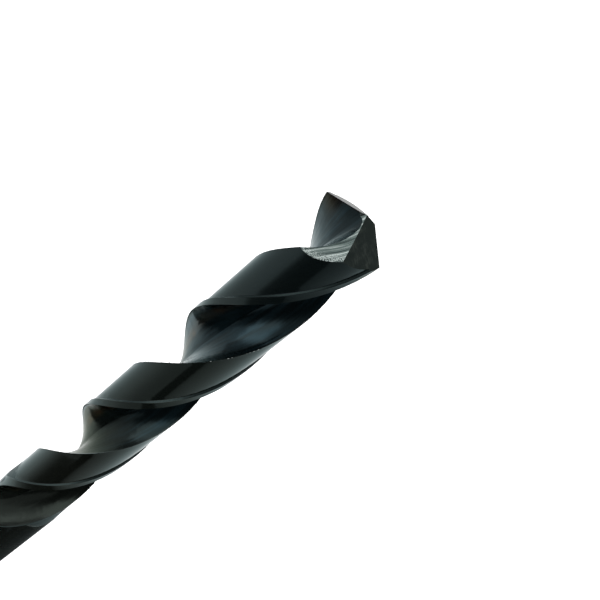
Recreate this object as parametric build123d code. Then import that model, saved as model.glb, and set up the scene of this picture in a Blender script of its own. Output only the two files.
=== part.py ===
from build123d import *
from math import asin, atan2, ceil, cos, degrees, pi, radians, sin, sqrt, tan
import os

# Twist drill bit, right-hand, two flutes, straight shank, split point.
# The bit is one piece of high-speed steel ground from a round blank, so this file follows the
# grinding: blank, flutes, body clearance behind the margins, cone-ground flanks, web notches.
#
# Frame: the shank's end face stands on Z = 0 with its centre at the origin, the point is up.
# "Reach" below is a height measured from the plane of the two outer corners, positive to the tip.
# +X at that plane goes through the outer corner of the first cutting lip.
# Each tool is made for the first land or flute, and a half turn about Z makes its twin.

# Blank and lengths. The back taper is the loss of diameter per 100 mm behind the point, which
# keeps the margins from rubbing in the hole. The shank is as thick as the taper's narrow end.
drill_diameter = 10.0
overall_length = 133.0
flute_length = 87.0
back_taper = 0.06
shank_chamfer = 0.6

# Cross-section of the fluted body. The web grows by so much, at its edge, per 100 mm behind the
# point. The step up to each margin slopes over a short width instead of standing square.
helix_angle = 30.0
web_thickness = 1.27
web_growth = 0.7
land_angle = 84.0
margin_angle = 11.3
clearance_depth = 0.27
clearance_step_width = 0.24
rake_join_gap = 0.06
web_handle = 0.8
heel_handle = 2.0
heel_lean = 21.0

# Flute run-out into the shank, left by the round flute wheel
flute_wheel_radius = 32.0
clearance_lift_share = 0.25
runout_overrun = 1.08

# Point: cone-ground flanks
point_angle = 120.0
lip_relief_slope = 0.31
grind_cone_half_angle = 40.0
grind_cone_reach = 35.0

# Point: notch ground into each heel, which thins the web and splits the chisel edge.
# The second notch is ground deeper than the first and runs a little past the drill's axis.
notch_tilt = 34.4
notch_turn = 24.6
first_notch_offset = 1.76
second_notch_offset = 1.4
first_chisel_end = 0.28
second_chisel_end = -0.2
split_lip_radius = 1.09
split_lip_rake = 25.0
notch_wheel_nose = 0.12

# How far cutting tools stand proud of what they cut, how many times the margin step's own length
# its cutting line is, and how finely the tools' curves are followed
tool_overrun = 1.6
step_reach = 10.0
twist_step = 32.0
rake_steps = 6
bisections = 40

drill_radius = drill_diameter / 2
shank_length = overall_length - flute_length
shank_radius = drill_radius - back_taper * flute_length / 100 / 2
half_web = web_thickness / 2
cleared_radius = drill_radius - clearance_depth
twist_rate = tan(radians(helix_angle)) / drill_radius
lip_slope = 1 / tan(radians(point_angle / 2))
flute_span = pi - radians(land_angle)
flute_middle = flute_span / 2
margin_back = pi - radians(margin_angle)
tool_radius = drill_radius * tool_overrun

# The first lip is a straight edge parallel to X in its own "lip frame", half a web ahead of the
# axis. Turning the lip frame back by this angle brings the outer corner onto +X.
lip_turn = asin(half_web / drill_radius)
corner_along_lip = sqrt(drill_radius**2 - half_web**2)


def from_lip_frame(x, y, reach):
    """A point or direction given in the lip frame, turned into the drill's frame."""
    return Vector(x, y, reach).rotate(Axis.Z, -degrees(lip_turn))


def polar(radius, angle):
    return Vector(radius * cos(angle), radius * sin(angle))


# ---- the cone that the flank is ground on ----
# The lip is one of its straight generators. The flank falls away behind it at the relief slope
# and curves down further towards the heel.
outer_corner = from_lip_frame(corner_along_lip, half_web, 0)
lip_inward = from_lip_frame(-1, 0, lip_slope).normalized()
flank_normal = from_lip_frame(lip_slope, -lip_relief_slope, 1).normalized()
cone_half = radians(grind_cone_half_angle)
cone_axis = lip_inward * -cos(cone_half) - flank_normal * sin(cone_half)
cone_apex = outer_corner + lip_inward * grind_cone_reach


def flank_reach_on_axis():
    """Height above the outer corners at which the grinding cone crosses the drill's axis."""
    low = 0.0
    high = drill_radius * lip_slope
    for _ in range(bisections):
        middle = (low + high) / 2
        along = (Vector(0, 0, middle) - cone_apex).dot(cone_axis)
        across = (Vector(0, 0, middle) - cone_apex - cone_axis * along).length
        if across > along * tan(cone_half):
            high = middle
        else:
            low = middle
    return low


point_height = flank_reach_on_axis()
corner_height = overall_length - point_height


# ---- flutes and body clearance ----
def wheel_lift(reach):
    """How far the flute wheel has climbed out of the blank at this height."""
    past = max(runout_start - reach, 0)
    return flute_wheel_radius - sqrt(flute_wheel_radius**2 - past**2)


flute_depth = drill_radius - half_web
runout_length = sqrt(flute_wheel_radius**2 - (flute_wheel_radius - flute_depth) ** 2)
runout_start = point_height - flute_length + runout_length


def rake_point(radius):
    """A point of the rake curve that, twisted up the helix, meets the point cone in a straight lip."""
    along_lip = sqrt(radius**2 - half_web**2)
    lip_height = (corner_along_lip - along_lip) * lip_slope
    return polar(radius, atan2(half_web, along_lip) - lip_turn - twist_rate * lip_height)


def groove_profile(reach):
    """Closed outline of what is ground away between one margin and the next.

    It runs down the rake curve, round the web, up to the heel of the next land, over that land's
    cleared back and up the step to its margin, then closes outside the blank.
    """
    lift = wheel_lift(reach)
    join_radius = half_web + rake_join_gap - web_growth * min(reach, 0) / 100
    shares = [step / rake_steps for step in range(rake_steps + 1)]
    rake_points = [
        rake_point(tool_radius + (join_radius - tool_radius) * share) + polar(lift, flute_middle)
        for share in shares
    ]
    rake = Edge.make_spline(rake_points, parameters=shares)

    land_back = cleared_radius + lift * clearance_lift_share
    heel = polar(land_back, flute_span)
    left_to_climb = max(1 - lift / flute_depth, 0)
    heel_inward = polar(-left_to_climb, flute_span - radians(heel_lean))
    web_join = rake @ 1
    heel_curve = Bezier(
        web_join, web_join + (rake % 1) * web_handle, heel + heel_inward * heel_handle, heel
    )

    step_top = polar(land_back + clearance_depth, margin_back)
    step_foot = polar(land_back, margin_back - clearance_step_width / drill_radius)
    cleared_land = ThreePointArc(heel, polar(land_back, (flute_span + margin_back) / 2), step_foot)
    margin_step = Line(step_foot, step_foot + (step_top - step_foot) * step_reach)
    outside = ThreePointArc(margin_step @ 1, polar(tool_radius + lift, flute_span), rake @ 0)
    return make_face([rake, heel_curve, cleared_land, margin_step, outside])


def groove_tool():
    """The profile screwed along the helix, from above the point down to the end of the run-out."""
    top = point_height + drill_radius / 4
    bottom = runout_start - runout_length * runout_overrun
    count = ceil(degrees(twist_rate * (top - bottom)) / twist_step)
    profiles = []
    for step in range(count + 1):
        reach = top + (bottom - top) * step / count
        screw = Pos(0, 0, corner_height + reach) * Rot(0, 0, degrees(twist_rate * reach))
        profiles.append(screw * groove_profile(reach))
    return loft(profiles)


# ---- point ----
def flank_tool():
    """All that lies outside the grinding cone around the point."""
    cone_height = grind_cone_reach + 4 * drill_radius
    cone_place = Plane(origin=cone_apex + Vector(0, 0, corner_height), z_dir=-cone_axis)
    cone = cone_place * Pos(0, 0, -cone_height / 2) * Cone(
        cone_height * tan(cone_half), 0, cone_height
    )
    block_bottom = corner_height - drill_radius / 2
    block = Pos(0, 0, block_bottom + drill_radius) * Cylinder(tool_radius, 2 * drill_radius)
    return block - cone


def notch_tool(notch_offset, chisel_end):
    """The wedge-shaped edge of the notching wheel: a broad heel face and a short rake wall.

    The offset is the heel face's distance from the centre of the outer corners' plane, and the
    chisel end is how far short of the axis the rake wall meets the chisel edge.
    """
    heel_azimuth = -pi / 2 - radians(notch_turn)
    tilt = radians(notch_tilt)
    heel_face = Vector(cos(tilt) * cos(heel_azimuth), cos(tilt) * sin(heel_azimuth), sin(tilt))

    # The rake wall holds the split lip, from the inner end of the main lip to the chisel edge.
    split_along = sqrt(split_lip_radius**2 - half_web**2)
    split_start = from_lip_frame(
        -split_along, -half_web, (corner_along_lip - split_along) * lip_slope
    )
    chisel_direction = from_lip_frame(lip_relief_slope, lip_slope, 0).normalized()
    split_stop = Vector(0, 0, point_height) - chisel_direction * chisel_end
    split_lip = (split_stop - split_start).normalized()
    level_normal = split_lip.cross(Vector(0, 0, 1)).normalized()
    steep_normal = level_normal.cross(split_lip)
    rake = radians(split_lip_rake)
    rake_wall = level_normal * cos(rake) + steep_normal * sin(rake)

    # Both walls meet in the valley line, found where they cross the drill's height plane.
    valley = heel_face.cross(rake_wall).normalized()
    heel_gap = notch_offset
    rake_gap = rake_wall.dot(split_start)
    cosine = heel_face.dot(rake_wall)
    along_heel = (heel_gap - rake_gap * cosine) / (1 - cosine**2)
    along_rake = (rake_gap - heel_gap * cosine) / (1 - cosine**2)
    valley_point = heel_face * along_heel + rake_wall * along_rake

    size = 3 * drill_radius
    frame = Plane(origin=valley_point + Vector(0, 0, corner_height), x_dir=heel_face, z_dir=valley)
    down_heel = frame.to_local_coords(frame.origin + rake_wall - heel_face * cosine).normalized()
    down_rake = frame.to_local_coords(frame.origin + heel_face - rake_wall * cosine).normalized()
    wedge = make_face(
        Polyline(
            (0, 0),
            down_heel * size,
            (down_heel + down_rake) * size,
            down_rake * size,
            close=True,
        )
    )
    nose = wedge.vertices().sort_by_distance((0, 0, 0))[0]
    wedge = fillet(nose, notch_wheel_nose)
    return extrude(frame * wedge, size, both=True)


def twin(tool):
    return Rot(0, 0, 180) * tool


def blank():
    """The round bar before grinding, chamfered at the shank's end. Its seam lies in a flute."""
    shank = Pos(0, 0, shank_length / 2) * Cylinder(shank_radius, shank_length)
    shank = chamfer(shank.edges().sort_by(Axis.Z)[0], shank_chamfer)
    body = Pos(0, 0, shank_length + flute_length / 2) * Cone(
        shank_radius, drill_radius, flute_length
    )
    return Rot(0, 0, degrees(flute_middle)) * (shank + body)


def twist_drill():
    drill = blank()
    groove = groove_tool()
    flank = flank_tool()
    first_notch = notch_tool(first_notch_offset, first_chisel_end)
    second_notch = notch_tool(second_notch_offset, second_chisel_end)
    for tool in (groove, twin(groove), flank, twin(flank), first_notch, twin(second_notch)):
        drill -= tool
    return drill


os.makedirs("parts", exist_ok=True)
export_step(twist_drill(), "parts/twist_drill.step")
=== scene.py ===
import math
import random

import bmesh
import bpy
from mathutils import Matrix, Vector


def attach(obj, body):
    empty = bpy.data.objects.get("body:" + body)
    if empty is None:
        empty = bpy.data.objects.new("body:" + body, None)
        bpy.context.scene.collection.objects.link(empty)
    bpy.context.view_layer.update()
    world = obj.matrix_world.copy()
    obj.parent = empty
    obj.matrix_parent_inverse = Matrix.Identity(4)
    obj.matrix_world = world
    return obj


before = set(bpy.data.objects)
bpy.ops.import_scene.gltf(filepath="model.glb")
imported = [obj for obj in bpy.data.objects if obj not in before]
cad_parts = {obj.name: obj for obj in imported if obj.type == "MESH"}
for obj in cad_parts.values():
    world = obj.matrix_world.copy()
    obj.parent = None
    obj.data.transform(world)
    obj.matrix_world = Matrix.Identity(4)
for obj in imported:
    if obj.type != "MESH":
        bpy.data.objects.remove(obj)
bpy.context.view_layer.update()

# Looks of a black twist drill bit that stands on its shank, point up, in a plain pale studio.
# Lengths are in metres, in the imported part's own frame: the drill's axis is Z.
# Where a finish changes softly, a pair of values says where the change is nil and where it is full.
# Noise patterns are pairs too: the pattern's scale per metre and its detail.
MM = 0.001
NODE = "twist_drill"

# ---- what the looks need to know of the drill ----
DRILL_RADIUS = 5.0 * MM
HELIX_ANGLE = math.radians(30.0)
TWIST_RATE = math.tan(HELIX_ANGLE) / DRILL_RADIUS
POINT_ANGLE = math.radians(120.0)
LIP_SLOPE = 1 / math.tan(POINT_ANGLE / 2)
CORNER_HEIGHT = 130.344 * MM
HEEL_RADIUS = 4.73 * MM
HEEL_AZIMUTH = math.radians(96.0)

# The notch's heel face, as its outward normal, and the way its grinding marks run
NOTCH_NORMAL = Vector((-0.344, -0.750, 0.564))
NOTCH_MARKS = Vector((0.443, 0.401, 0.802)).normalized()


# ---- small helpers ----
def add_object(name, data):
    made = bpy.data.objects.new(name, data)
    bpy.context.scene.collection.objects.link(made)
    return made


class Tree:
    """Adds nodes to a material's or world's tree. A number, colour or socket can feed any input."""

    NOISE_ROUGHNESS = 0.55

    def __init__(self, owner):
        owner.use_nodes = True
        self.tree = owner.node_tree
        self.tree.nodes.clear()

    def node(self, kind, inputs=None, **settings):
        made = self.tree.nodes.new("ShaderNode" + kind)
        for name, value in settings.items():
            setattr(made, name, value)
        for key, value in (inputs or {}).items():
            if isinstance(value, bpy.types.NodeSocket):
                self.tree.links.new(value, made.inputs[key])
            else:
                made.inputs[key].default_value = value
        return made

    def shader(self, kind, inputs):
        return self.node(kind, inputs).outputs[0]

    def place(self):
        """Where the shaded point lies in the part's frame, as all objects sit at its origin."""
        return self.node("TexCoord").outputs["Object"]

    def split(self, vector):
        """The X, Y and Z sockets of a vector."""
        return self.node("SeparateXYZ", {0: vector}).outputs

    def combine(self, x, y, z):
        return self.node("CombineXYZ", {0: x, 1: y, 2: z}).outputs[0]

    def math(self, operation, *values):
        return self.node("Math", dict(enumerate(values)), operation=operation).outputs[0]

    def product(self, first, *others):
        for value in others:
            first = self.math("MULTIPLY", first, value)
        return first

    def vector_math(self, operation, *values):
        made = self.node("VectorMath", dict(enumerate(values)), operation=operation)
        return made.outputs["Value" if operation in ("DOT_PRODUCT", "LENGTH") else "Vector"]

    def radius(self, place):
        """Distance from the drill's axis."""
        return self.vector_math("LENGTH", self.vector_math("MULTIPLY", place, (1, 1, 0)))

    def change(self, value, nil, full):
        """0 where the change is nil and beyond, 1 where it is full and beyond, soft in between."""
        made = self.node(
            "MapRange",
            {"Value": value, "From Min": nil, "From Max": full},
            interpolation_type="SMOOTHSTEP",
        )
        return made.outputs["Result"]

    def noise(self, vector, scale, detail):
        made = self.node(
            "TexNoise",
            {
                "Vector": vector,
                "Scale": scale,
                "Detail": detail,
                "Roughness": self.NOISE_ROUGHNESS,
            },
        )
        return made.outputs[0]

    def drawn_out(self, vector, shares, scale, detail):
        """Noise whose pattern is drawn out along the axes where the share is below 1."""
        return self.noise(self.vector_math("MULTIPLY", vector, shares), scale, detail)

    def mix_colour(self, share, first, second):
        # A Mix node has sockets for each type of data: its colours are inputs 6 and 7 and output 2.
        made = self.node("Mix", {"Factor": share, 6: first, 7: second}, data_type="RGBA")
        return made.outputs[2]

    def layered(self, colour, *layers):
        """The colour under layers of (share, colour), of which the last is on top."""
        for share, layer in layers:
            colour = self.mix_colour(share, colour, layer)
        return colour

    def raised(self, value, *additions):
        """The value with each (share, amount) added to it."""
        for share, amount in additions:
            value = self.math("MULTIPLY_ADD", share, amount, value)
        return value

    def bump(self, height, strength, distance):
        inputs = {"Strength": strength, "Distance": distance, "Height": height}
        return self.node("Bump", inputs).outputs[0]

    def surface(self, shader):
        self.node("OutputMaterial", {"Surface": shader})


# ---- camera, fitted to the photograph ----
CAMERA_PLACE = Vector((13.93, -94.23, 194.92)) * MM
CAMERA_RIGHT = Vector((0.56137, 0.56053, 0.60882))
CAMERA_UP = Vector((-0.82207, 0.29307, 0.48818))
LENS_MM = 64.30
SENSOR_MM = 36.0
CLIP_NEAR, CLIP_FAR = 5 * MM, 50.0


def add_camera():
    data = bpy.data.cameras.new("camera")
    data.lens = LENS_MM
    data.sensor_width = SENSOR_MM
    data.clip_start = CLIP_NEAR
    data.clip_end = CLIP_FAR
    camera = add_object("camera", data)
    back = CAMERA_RIGHT.cross(CAMERA_UP)
    turn = Matrix((CAMERA_RIGHT, CAMERA_UP, back)).transposed().to_4x4()
    camera.matrix_world = Matrix.Translation(CAMERA_PLACE) @ turn
    bpy.context.scene.camera = camera


# ---- light: a white world, a pale floor and an overhead lamp ----
# The world's strength is 1 where it is seen, and this where it only lights the drill.
WORLD_LIGHT = 0.6
WORLD_WHITE = (1, 1, 1, 1)

OVERHEAD_HEIGHT = 0.9
OVERHEAD_SIZE = 0.7
OVERHEAD_POWER = 9.0

# The floor glows a little where it is seen, and more far away, so that no line shows where it ends.
FLOOR_HALF = 3.0
FLOOR_PALE = (0.85, 0.85, 0.85, 1)
FLOOR_LIFT, FLOOR_FAR_LIFT = 0.35, 0.50
FLOOR_FAR = 0.4, 1.2


def where_seen(t):
    """1 for the rays that show the background, and 0 for those that only light the drill."""
    rays = t.node("LightPath").outputs
    mirror = t.math("MAXIMUM", rays["Is Glossy Ray"], rays["Is Transmission Ray"])
    return t.math("MAXIMUM", rays["Is Camera Ray"], mirror)


def add_world():
    world = bpy.data.worlds.new("studio")
    bpy.context.scene.world = world
    t = Tree(world)
    strength = t.math("MAXIMUM", where_seen(t), WORLD_LIGHT)
    background = t.shader("Background", {"Color": WORLD_WHITE, "Strength": strength})
    t.node("OutputWorld", {"Surface": background})


def add_overhead_lamp():
    data = bpy.data.lights.new("overhead", "AREA")
    data.shape = "SQUARE"
    data.size = OVERHEAD_SIZE
    data.energy = OVERHEAD_POWER
    lamp = add_object("overhead", data)
    lamp.location = (0, 0, OVERHEAD_HEIGHT)
    lamp.visible_glossy = False


def pale_floor():
    material = bpy.data.materials.new("floor")
    t = Tree(material)
    far = t.change(t.vector_math("LENGTH", t.place()), *FLOOR_FAR)
    lift = t.raised(FLOOR_LIFT, (far, FLOOR_FAR_LIFT - FLOOR_LIFT))
    glow = t.shader("Emission", {"Strength": t.product(where_seen(t), lift)})
    diffuse = t.shader("BsdfDiffuse", {"Color": FLOOR_PALE})
    t.surface(t.shader("AddShader", {0: diffuse, 1: glow}))
    return material


def add_floor():
    mesh = bpy.data.meshes.new("floor")
    h = FLOOR_HALF
    mesh.from_pydata([(-h, -h, 0), (h, -h, 0), (h, h, 0), (-h, h, 0)], [], [(0, 1, 2, 3)])
    mesh.materials.append(pale_floor())
    floor = add_object("floor", mesh)


# ---- screens: flat ring mats and a round wall that only the drill's reflections show ----
# They darken the reflections on the viewer's side to what the photograph shows. Each one lets
# through a share of the white world, listed here by compass degrees from +X towards +Y. Between the
# listed directions the share changes evenly.
INNER_MAT_CLEAR = {
    -180: 0.80, -157: 0.74, -142: 0.42, -127: 0.24, -112: 0.10, -95: 0.05,
    -50: 0.04, 60: 0.06, 80: 0.28, 98: 0.65, 130: 0.80, 180: 0.80,
}
SECOND_MAT_CLEAR = {
    -180: 0.72, -157: 0.66, -142: 0.46, -127: 0.27, -112: 0.10, -95: 0.05,
    -75: 0.05, -58: 0.03, -52: 0.18, -45: 0.30, -30: 0.44, 0: 0.62,
    24: 0.72, 80: 0.66, 98: 0.66, 130: 0.72, 180: 0.72,
}
THIRD_MAT_CLEAR = {
    -180: 0.62, -165: 0.60, -150: 0.58, -135: 0.50, -120: 0.38, -105: 0.30,
    -90: 0.27, -79: 0.27, -76: 0.02, -60: 0.01, -55: 0.02, -52: 0.22,
    -45: 0.32, -30: 0.42, 0: 0.60, 24: 0.72, 120: 0.68, 180: 0.62,
}
OUTER_MAT_CLEAR = {
    -180: 0.62, -165: 0.62, -150: 0.64, -135: 0.64, -120: 0.54, -113: 0.26,
    -106: 0.09, -98: 0.06, -90: 0.03, -78: 0.02, -60: 0.01, -55: 0.02,
    -51: 0.18, -45: 0.24, -30: 0.34, 0: 0.50, 24: 0.66, 120: 0.68, 180: 0.62,
}
WALL_CLEAR = {
    -180: 0.18, -165: 0.32, -150: 0.60, -110: 0.54, -102: 0.30, -94: 0.10,
    -84: 0.04, -60: 0.02, -50: 0.10, -37: 0.32, -20: 0.45, 24: 0.75,
    105: 0.70, 130: 0.42, 155: 0.18, 180: 0.18,
}
STUDIO_RADIUS = 0.25
STUDIO_HEIGHT = 0.40
SCREEN_STEP_DEGREES = 5

# The mats lie just above the floor, round the hole that the drill stands in. Each has its outer
# radius and reaches inwards to the one before it.
MAT_LIFT = 2 * MM
MAT_HOLE = 5.2 * MM
MATS = (
    ("inner_mat", 44 * MM, INNER_MAT_CLEAR),
    ("second_mat", 59 * MM, SECOND_MAT_CLEAR),
    ("third_mat", 125 * MM, THIRD_MAT_CLEAR),
    ("outer_mat", STUDIO_RADIUS, OUTER_MAT_CLEAR),
)

# The wall holds a soft lamp. Its direction and widths are in degrees, its level and heights in
# metres, and the soft widths and heights are those of its fading edges.
SIDE_LAMP_DIRECTION, SIDE_LAMP_HALF_WIDTH, SIDE_LAMP_SOFT_WIDTH = -131.5, 24.5, 20.0
SIDE_LAMP_LEVEL, SIDE_LAMP_HALF_HEIGHT, SIDE_LAMP_SOFT_HEIGHT = 0.055, 0.056, 0.045
SIDE_LAMP_GLOW = 2.0


def compass_ramp(t, compass, clear):
    """A grey that goes by compass direction, as one of the lists above says."""
    ramp = t.node("ValToRGB", {0: t.math("DIVIDE", t.math("ADD", compass, 180.0), 360.0)})
    points = ramp.color_ramp.elements
    for direction in list(clear)[1:-1]:
        points.new((direction + 180) / 360)
    for point, share in zip(points, clear.values()):
        point.color = (share, share, share, 1)
    return ramp.outputs[0]


def side_lamp_glow(t, compass, height):
    """How strongly the wall glows: the lamp is full inside and fades out over its four edges."""
    glow = SIDE_LAMP_GLOW
    for place, middle, half, soft in (
        (compass, SIDE_LAMP_DIRECTION, SIDE_LAMP_HALF_WIDTH, SIDE_LAMP_SOFT_WIDTH),
        (height, SIDE_LAMP_LEVEL, SIDE_LAMP_HALF_HEIGHT, SIDE_LAMP_SOFT_HEIGHT),
    ):
        from_middle = t.math("ABSOLUTE", t.math("SUBTRACT", place, middle))
        inside = t.change(from_middle, half + soft / 2, half - soft / 2)
        glow = t.product(inside, glow)
    return glow


def screen_material(name, clear, with_lamp):
    material = bpy.data.materials.new(name)
    t = Tree(material)
    split = t.split(t.place())
    compass = t.math("DEGREES", t.math("ARCTAN2", split["Y"], split["X"]))
    shader = t.shader("BsdfTransparent", {"Color": compass_ramp(t, compass, clear)})
    if with_lamp:
        lamp = t.shader("Emission", {"Strength": side_lamp_glow(t, compass, split["Z"])})
        shader = t.shader("AddShader", {0: lamp, 1: shader})
    t.surface(shader)
    return material


def add_screen(name, edges, clear, with_lamp=False):
    """A graded screen round the drill, between two round edges, each given as (radius, height)."""
    turns = [math.radians(a) for a in range(0, 360, SCREEN_STEP_DEGREES)]
    verts = [(r * math.cos(a), r * math.sin(a), z) for a in turns for r, z in edges]
    count = len(verts)
    faces = [(i, (i + 2) % count, (i + 3) % count, i + 1) for i in range(0, count, 2)]
    mesh = bpy.data.meshes.new(name)
    mesh.from_pydata(verts, [], faces)
    mesh.materials.append(screen_material(name, clear, with_lamp))
    screen = add_object(name, mesh)
    screen.visible_camera = False
    screen.visible_diffuse = False
    screen.visible_transmission = False
    screen.visible_shadow = False


def add_screens():
    near = MAT_HOLE
    for name, far, clear in MATS:
        add_screen(name, ((near, MAT_LIFT), (far, MAT_LIFT)), clear)
        near = far
    wall_edges = ((STUDIO_RADIUS, MAT_LIFT), (STUDIO_RADIUS, STUDIO_HEIGHT))
    add_screen("dark_wall", wall_edges, WALL_CLEAR, with_lamp=True)


# ---- black oxide, the finish of the body ----
OXIDE_FLUTE = (0.0042, 0.0098, 0.0116, 1)
OXIDE_STREAK = (0.0085, 0.0200, 0.0255, 1)
OXIDE_FADED = (0.0120, 0.0155, 0.0135, 1)
OXIDE_LAND = (0.0095, 0.0160, 0.0166, 1)
OXIDE_WARM = (0.0122, 0.0170, 0.0146, 1)
OXIDE_OLIVE = (0.0108, 0.0128, 0.0096, 1)
# Painted light: a paler tone on the step's wall that covers the shade line along it
STEP_PAINTED_LIGHT = (0.0220, 0.0330, 0.0330, 1)
OXIDE_BROWN = (0.0400, 0.0230, 0.0095, 1)
OXIDE_CORNER = (0.0090, 0.0058, 0.0034, 1)
OXIDE_SCUFF = (0.070, 0.078, 0.074, 1)
# Painted shade: near black for the shadow just below each lip
LIP_PAINTED_SHADE = (0.0010, 0.0012, 0.0012, 1)
FLUTE_SHEEN = (0.74, 0.86, 0.88, 1)
LAND_SHEEN = (0.64, 0.75, 0.76, 1)
DULL_SHEEN = (0.50, 0.55, 0.50, 1)
OXIDE_METALLIC = 0.75

# Streaks and scratches are drawn out along the helix, by their shares. Clouds and grain have no
# direction. Where the streaks are strong they have their own tint.
STREAKS, STREAK_SHARES = (1500.0, 3.0), (1, 1, 0.07)
SCRATCHES, SCRATCH_SHARES = (9000.0, 2.0), (1, 1, 0.03)
CLOUDS = 230.0, 3.0
GRAIN = 9000.0, 2.0
STREAK_TINT = 0.44, 0.64

# By radius: up the heel onto the land, and over the step from the land up to the margin, whose wall
# gets painted light over its shade line
LAND_RADII = 4.45 * MM, 4.68 * MM
STEP_INNER_RADII = 4.74 * MM, 4.78 * MM
STEP_OUTER_RADII = 4.96 * MM, 4.92 * MM

# By height, from the point down: the lands turn warm, the flutes lose some sheen, the flutes fade
# and the lands turn olive, and the shank is dull
WARM_HEIGHTS = 121 * MM, 104 * MM
DULL_HEIGHTS = 102 * MM, 92 * MM
FADED_HEIGHTS = 90 * MM, 72 * MM
SHANK_HEIGHTS = 52 * MM, 44 * MM

# Scuffs show on the lands, where both the grain and the clouds are strong
SCUFF_GRAIN, SCUFF_CLOUDS = (0.66, 0.74), (0.50, 0.66)

# The rake faces lie close to the plane through the axis and the lips' outer corners, once the
# helix is unwound. They have a blotchy brown band, which ends some way short of the point, a dark
# brown tint at the outer corner of each lip, and a fine line of painted shade just below the lip
# itself.
RAKE_DISTANCES = 0.80 * MM, 0.30 * MM
BROWN_INNER_RADII = 2.3 * MM, 2.9 * MM
BROWN_OUTER_RADII = 4.1 * MM, 3.4 * MM
BROWN_HEIGHTS = 126 * MM, 120 * MM
BROWN_BLOTCHES, BLOTCH_DEPTH = (0.44, 0.60), 0.65
CORNER_RADII = 2.3 * MM, 3.9 * MM
CORNER_HEIGHTS = 126.5 * MM, 130.2 * MM
LIP_SHADE_DEPTHS = 0.20 * MM, 0.06 * MM

# Roughness: a base, and what each of these adds to it where it is full
OXIDE_ROUGHNESS = 0.06
STREAK_ROUGHNESS = 0.10
CLOUD_ROUGHNESS = 0.08
LAND_ROUGHNESS = -0.065
STEP_ROUGHNESS = 0.35
SHANK_ROUGHNESS = 0.22

# Relief: the streaks' height, the scratches' share of it, and how strongly both show in the flutes
# and on the lands
OXIDE_RELIEF = 0.05 * MM
SCRATCH_HEIGHT = 0.12
FLUTE_BUMP, LAND_BUMP = 0.80, 0.08


def untwisted(t, place, height):
    """The place once the helix is unwound, which leaves the lips' outer corners over the X axis."""
    turn = t.product(t.math("SUBTRACT", CORNER_HEIGHT, height), TWIST_RATE)
    made = t.node(
        "VectorRotate",
        {"Vector": place, "Axis": (0, 0, 1), "Angle": turn},
        rotation_type="AXIS_ANGLE",
    )
    return made.outputs[0]


def rake_tints(t, height, radius, straight, clouds):
    """The shares of the brown band, the corner tint and the painted shade below the lip, on the
    rake faces.
    """
    from_lips = t.math("ABSOLUTE", t.split(straight)["Y"])
    on_rake = t.change(from_lips, *RAKE_DISTANCES)
    blotches = t.change(clouds, *BROWN_BLOTCHES)
    brown = t.product(
        t.change(radius, *BROWN_INNER_RADII),
        t.change(radius, *BROWN_OUTER_RADII),
        on_rake,
        t.raised(1 - BLOTCH_DEPTH, (blotches, BLOTCH_DEPTH)),
        t.change(height, *BROWN_HEIGHTS),
    )
    corner = t.change(height, *CORNER_HEIGHTS)
    corner = t.product(corner, t.change(radius, *CORNER_RADII), on_rake)
    lip_height = t.raised(CORNER_HEIGHT + DRILL_RADIUS * LIP_SLOPE, (radius, -LIP_SLOPE))
    below_lip = t.math("SUBTRACT", lip_height, height)
    # painted shade: a black line just below the lip, where the rake face lies in shade
    lip_painted_shade = t.product(t.change(below_lip, *LIP_SHADE_DEPTHS), on_rake)
    return brown, corner, lip_painted_shade


def black_oxide():
    material = bpy.data.materials.new("black_oxide")
    t = Tree(material)
    place = t.place()
    height = t.split(place)["Z"]
    radius = t.radius(place)
    straight = untwisted(t, place, height)
    streaks = t.drawn_out(straight, STREAK_SHARES, *STREAKS)
    scratches = t.drawn_out(straight, SCRATCH_SHARES, *SCRATCHES)
    clouds = t.noise(place, *CLOUDS)
    grain = t.noise(place, *GRAIN)

    on_land = t.change(radius, *LAND_RADII)
    step = t.product(t.change(radius, *STEP_INNER_RADII), t.change(radius, *STEP_OUTER_RADII))
    warm = t.product(on_land, t.change(height, *WARM_HEIGHTS))
    faded = t.change(height, *FADED_HEIGHTS)
    shank = t.change(height, *SHANK_HEIGHTS)
    scuff = t.product(t.change(grain, *SCUFF_GRAIN), t.change(clouds, *SCUFF_CLOUDS), on_land)
    brown, corner, lip_painted_shade = rake_tints(t, height, radius, straight, clouds)

    colour = t.layered(
        t.mix_colour(t.change(streaks, *STREAK_TINT), OXIDE_FLUTE, OXIDE_STREAK),
        (faded, OXIDE_FADED),
        (on_land, OXIDE_LAND),
        (warm, t.mix_colour(faded, OXIDE_WARM, OXIDE_OLIVE)),
        # painted light on the step's wall, over its shade line
        (step, STEP_PAINTED_LIGHT),
        (brown, OXIDE_BROWN),
        (corner, OXIDE_CORNER),
        (scuff, OXIDE_SCUFF),
        # painted shade just below the lip
        (lip_painted_shade, LIP_PAINTED_SHADE),
    )
    roughness = t.raised(
        OXIDE_ROUGHNESS,
        (streaks, STREAK_ROUGHNESS),
        (clouds, CLOUD_ROUGHNESS),
        (on_land, LAND_ROUGHNESS),
        (shank, SHANK_ROUGHNESS),
        (step, STEP_ROUGHNESS),
    )
    in_flute = t.math("SUBTRACT", 1.0, on_land)
    dull = t.math("MAXIMUM", t.product(in_flute, t.change(height, *DULL_HEIGHTS)), corner)
    sheen = t.layered(FLUTE_SHEEN, (on_land, LAND_SHEEN), (dull, DULL_SHEEN))
    relief = t.raised(streaks, (scratches, SCRATCH_HEIGHT))
    bump_strength = t.raised(FLUTE_BUMP, (on_land, LAND_BUMP - FLUTE_BUMP))
    inputs = {
        "Base Color": colour,
        "Metallic": OXIDE_METALLIC,
        "Roughness": roughness,
        "Specular Tint": sheen,
        "Normal": t.bump(relief, bump_strength, OXIDE_RELIEF),
    }
    t.surface(t.shader("BsdfPrincipled", inputs))
    return material


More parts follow.
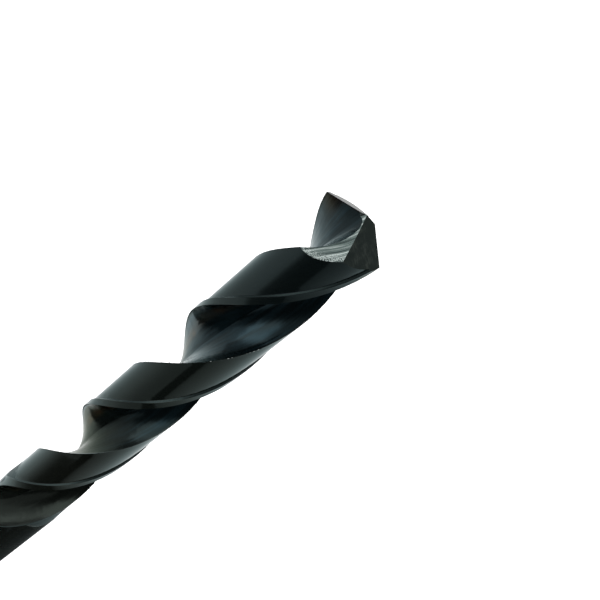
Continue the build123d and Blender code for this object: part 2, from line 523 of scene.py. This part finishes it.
# ---- ground flanks: darker steel with fine lines, worn in patches ----
FLANK_DARK = (0.0020, 0.0030, 0.0028, 1)
FLANK_WORN = (0.0110, 0.0132, 0.0116, 1)
FLANK_SHEEN = (0.62, 0.80, 0.74, 1)
FLANK_IOR = 1.31
FLANK_LINES, FLANK_LINE_SHARES = (5200.0, 3.0), (0.12, 1, 0.4)
FLANK_PATCHES = 900.0, 3.0
WORN_LINES, WORN_PATCHES = (0.35, 0.65), (0.42, 0.70)
FLANK_ROUGHNESS, FLANK_LINE_ROUGHNESS = 0.18, 0.16
FLANK_RELIEF, FLANK_BUMP = 0.02 * MM, 0.20


def ground_flank():
    material = bpy.data.materials.new("ground_flank")
    t = Tree(material)
    place = t.place()
    lines = t.drawn_out(place, FLANK_LINE_SHARES, *FLANK_LINES)
    patches = t.noise(place, *FLANK_PATCHES)
    worn = t.product(t.change(patches, *WORN_PATCHES), t.change(lines, *WORN_LINES))
    inputs = {
        "Base Color": t.mix_colour(worn, FLANK_DARK, FLANK_WORN),
        "Roughness": t.raised(FLANK_ROUGHNESS, (lines, FLANK_LINE_ROUGHNESS)),
        "IOR": FLANK_IOR,
        "Specular Tint": FLANK_SHEEN,
        "Normal": t.bump(lines, FLANK_BUMP, FLANK_RELIEF),
    }
    t.surface(t.shader("BsdfPrincipled", inputs))
    return material


# ---- ground notches: bare bright steel with grinding marks, and grit by the outer edge ----
NOTCH_DARK = (0.065, 0.092, 0.090, 1)
NOTCH_GREY = (0.245, 0.315, 0.300, 1)
NOTCH_BRIGHT = (0.84, 0.95, 0.92, 1)

# The marks run straight from their start at the outer edge for this far. Past that they bend
# sideways by the bend times the square of the distance.
NOTCH_START = Vector((-0.505, -5.19, 126.253)) * MM
NOTCH_STRAIGHT = 3.8 * MM
NOTCH_BEND_PER_METRE = 58.0

# Broad bands and fine lines make up the marks. Each is drawn out along them, and cut from another
# layer of the noise.
NOTCH_BANDS, BAND_SHARE, BAND_LAYER, BAND_WEIGHT = (2500.0, 1.0), 0.04, 0.0, 0.55
NOTCH_LINES, LINE_SHARE, LINE_LAYER, LINE_WEIGHT = (8500.0, 3.0), 0.03, 0.001, 0.45
MARKS_GREY, MARKS_BRIGHT = (0.37, 0.50), (0.51, 0.60)

# The grit's strong grains are bright flecks and its weak ones dark pits
NOTCH_GRIT = 10000.0, 2.0
GRIT_RADII = 3.9 * MM, 4.7 * MM
GRIT_FLECKS, GRIT_PITS = (0.52, 0.57), (0.48, 0.42)
NOTCH_ROUGHNESS, GRIT_ROUGHNESS = 0.20, 0.2
NOTCH_RELIEF, NOTCH_BUMP, GRIT_HEIGHT = 0.03 * MM, 0.5, 0.3


def notch_place(t, place, turn):
    """How far a point lies along the notch's bent marks and across them."""
    about = Matrix.Rotation(turn, 3, "Z")
    marks = about @ NOTCH_MARKS
    sideways = (about @ NOTCH_NORMAL).cross(marks)
    reach = t.vector_math("SUBTRACT", place, tuple(about @ NOTCH_START))
    along = t.vector_math("DOT_PRODUCT", reach, tuple(marks))
    across = t.vector_math("DOT_PRODUCT", reach, tuple(sideways))
    past = t.math("MAXIMUM", t.math("SUBTRACT", along, NOTCH_STRAIGHT), 0.0)
    return along, t.raised(across, (t.product(past, past), -NOTCH_BEND_PER_METRE))


def ground_notch(name, turn):
    """The finish of the notch that lies turned about Z by this angle."""
    material = bpy.data.materials.new(name)
    t = Tree(material)
    place = t.place()
    along, across = notch_place(t, place, turn)
    band_place = t.combine(across, t.product(along, BAND_SHARE), BAND_LAYER)
    line_place = t.combine(across, t.product(along, LINE_SHARE), LINE_LAYER)
    bands = t.noise(band_place, *NOTCH_BANDS)
    lines = t.noise(line_place, *NOTCH_LINES)
    marks = t.raised(t.product(lines, LINE_WEIGHT), (bands, BAND_WEIGHT))
    grit = t.noise(place, *NOTCH_GRIT)
    by_edge = t.change(t.radius(place), *GRIT_RADII)

    colour = t.layered(
        NOTCH_DARK,
        (t.change(marks, *MARKS_GREY), NOTCH_GREY),
        (t.change(marks, *MARKS_BRIGHT), NOTCH_BRIGHT),
        (t.product(by_edge, t.change(grit, *GRIT_FLECKS)), NOTCH_BRIGHT),
        (t.product(by_edge, t.change(grit, *GRIT_PITS)), NOTCH_DARK),
    )
    relief = t.raised(marks, (grit, GRIT_HEIGHT))
    inputs = {
        "Base Color": colour,
        "Metallic": 1.0,
        "Roughness": t.raised(NOTCH_ROUGHNESS, (grit, GRIT_ROUGHNESS)),
        "Normal": t.bump(relief, NOTCH_BUMP, NOTCH_RELIEF),
    }
    t.surface(t.shader("BsdfPrincipled", inputs))
    return material


# ---- small bright nicks and black burrs along the two heel edges ----
NICK_STEEL = (0.50, 0.54, 0.52, 1)
NICK_GRAIN = 20000.0, 2.0
NICK_ROUGHNESS, NICK_GRAIN_ROUGHNESS = 0.25, 0.3

# Those in view have given heights on the first heel, and strays are thrown over both heels.
# A lump's size is its radius, of which it gets these shares in depth, width and length.
NICK_HEIGHTS_MM = (96.2, 97.0, 98.3, 99.3, 99.8, 105.9, 108.0, 108.4, 110.1, 110.5, 110.9, 111.4)
BURR_HEIGHTS_MM = (
    97.6, 98.9, 100.2, 102.3, 104.6, 105.2, 106.4, 107.2, 108.9, 109.6, 111.7, 112.4,
)
STRAY_HEIGHTS_MM = 62.0, 121.0
STRAY_NICKS, STRAY_BURRS = 12, 30
NICK_SIZES_MM = 0.035, 0.085
BURR_SIZES_MM = 0.06, 0.11
LUMP_DEPTH, LUMP_WIDTH, LUMP_LENGTHS = 0.45, 0.7, (1.0, 2.6)
LUMP_UNEVENNESS = 0.65, 1.25
LUMP_SEED = 7

# The two kinds of lump, which are also the places of their materials on the mesh
NICK, BURR = range(2)


def nick_steel():
    material = bpy.data.materials.new("nick_steel")
    t = Tree(material)
    grain = t.noise(t.place(), *NICK_GRAIN)
    inputs = {
        "Base Color": NICK_STEEL,
        "Metallic": 1.0,
        "Roughness": t.raised(NICK_ROUGHNESS, (grain, NICK_GRAIN_ROUGHNESS)),
    }
    t.surface(t.shader("BsdfPrincipled", inputs))
    return material


def add_nicks(oxide):
    """Tiny lumps on the heel edges: chips down to bare steel, and burrs that are still black."""
    dice = random.Random(LUMP_SEED)
    lumps = []
    for kind, heights, strays, sizes in (
        (NICK, NICK_HEIGHTS_MM, STRAY_NICKS, NICK_SIZES_MM),
        (BURR, BURR_HEIGHTS_MM, STRAY_BURRS, BURR_SIZES_MM),
    ):
        lumps += [(kind, sizes, 0.0, height) for height in heights]
        for _ in range(strays):
            side = dice.choice((0.0, math.pi))
            lumps.append((kind, sizes, side, dice.uniform(*STRAY_HEIGHTS_MM)))
    shape = bmesh.new()
    for kind, sizes, side, height_mm in lumps:
        height = height_mm * MM
        azimuth = HEEL_AZIMUTH + side + TWIST_RATE * (height - CORNER_HEIGHT)
        centre = Vector((HEEL_RADIUS * math.cos(azimuth), HEEL_RADIUS * math.sin(azimuth), height))
        climb = Matrix.Rotation(azimuth, 4, "Z") @ Matrix.Rotation(-HELIX_ANGLE, 4, "X")
        squash = Matrix.Diagonal((LUMP_DEPTH, LUMP_WIDTH, dice.uniform(*LUMP_LENGTHS), 1))
        size = dice.uniform(*sizes) * MM
        for vert in bmesh.ops.create_icosphere(shape, subdivisions=1, radius=size)["verts"]:
            vert.co *= dice.uniform(*LUMP_UNEVENNESS)
            vert.co = centre + (climb @ squash @ vert.co)
            for face in vert.link_faces:
                face.material_index = kind
    mesh = bpy.data.meshes.new("heel_nicks")
    shape.to_mesh(mesh)
    shape.free()
    nicks = add_object("heel_nicks", mesh)
    mesh.materials.append(nick_steel())
    mesh.materials.append(oxide)
    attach(nicks, "root")


# ---- which of the drill's ground faces each finish goes on ----
# The finishes, which are also the places of their materials on the mesh
BODY, FLANK, NOTCH, FAR_NOTCH = range(4)

# Faces with their centre below POINT_FOOT are body. A flank looks up by at least FLANK_MIN_UP, and
# a notch's heel face lies along NOTCH_NORMAL by at least NOTCH_MIN_MATCH. The notch's other faces
# have their centre within TIP_RADIUS of the axis, on the notch's side.
POINT_FOOT = CORNER_HEIGHT - DRILL_RADIUS
FLANK_MIN_UP = 0.7
NOTCH_MIN_MATCH = 0.98
TIP_RADIUS = 1.3 * MM


def ground_faces(mesh):
    """The mesh's separate patches, one per ground face of the drill, as lists of polygons."""
    owner = list(range(len(mesh.vertices)))

    def root(index):
        while owner[index] != index:
            owner[index] = owner[owner[index]]
            index = owner[index]
        return index

    for polygon in mesh.polygons:
        first = root(polygon.vertices[0])
        for vertex in polygon.vertices[1:]:
            owner[root(vertex)] = first
    patches = {}
    for polygon in mesh.polygons:
        patches.setdefault(root(polygon.vertices[0]), []).append(polygon)
    return list(patches.values())


def finish_of(patch):
    """Which of the four finishes one ground face gets."""
    area = sum(polygon.area for polygon in patch)
    normal = sum((polygon.normal * polygon.area for polygon in patch), Vector()).normalized()
    centre = sum((polygon.center * polygon.area for polygon in patch), Vector()) / area
    if centre.z < POINT_FOOT:
        return BODY
    if normal.z > FLANK_MIN_UP:
        return FLANK
    for finish, side in ((NOTCH, 1), (FAR_NOTCH, -1)):
        heel_face = Vector((NOTCH_NORMAL.x * side, NOTCH_NORMAL.y * side, NOTCH_NORMAL.z))
        on_side = centre.to_2d().dot(heel_face.to_2d()) > 0
        by_tip = centre.to_2d().length < TIP_RADIUS and on_side
        if normal.dot(heel_face) > NOTCH_MIN_MATCH or by_tip:
            return finish
    return BODY


def dress_drill(oxide):
    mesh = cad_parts[NODE].data
    mesh.materials.clear()
    for material in (
        oxide,
        ground_flank(),
        ground_notch("ground_notch", 0.0),
        ground_notch("ground_notch_far", math.pi),
    ):
        mesh.materials.append(material)
    for patch in ground_faces(mesh):
        finish = finish_of(patch)
        for polygon in patch:
            polygon.material_index = finish


oxide = black_oxide()
dress_drill(oxide)
add_nicks(oxide)
add_floor()
add_world()
add_screens()
add_overhead_lamp()
add_camera()
bpy.context.scene.view_settings.view_transform = "Standard"
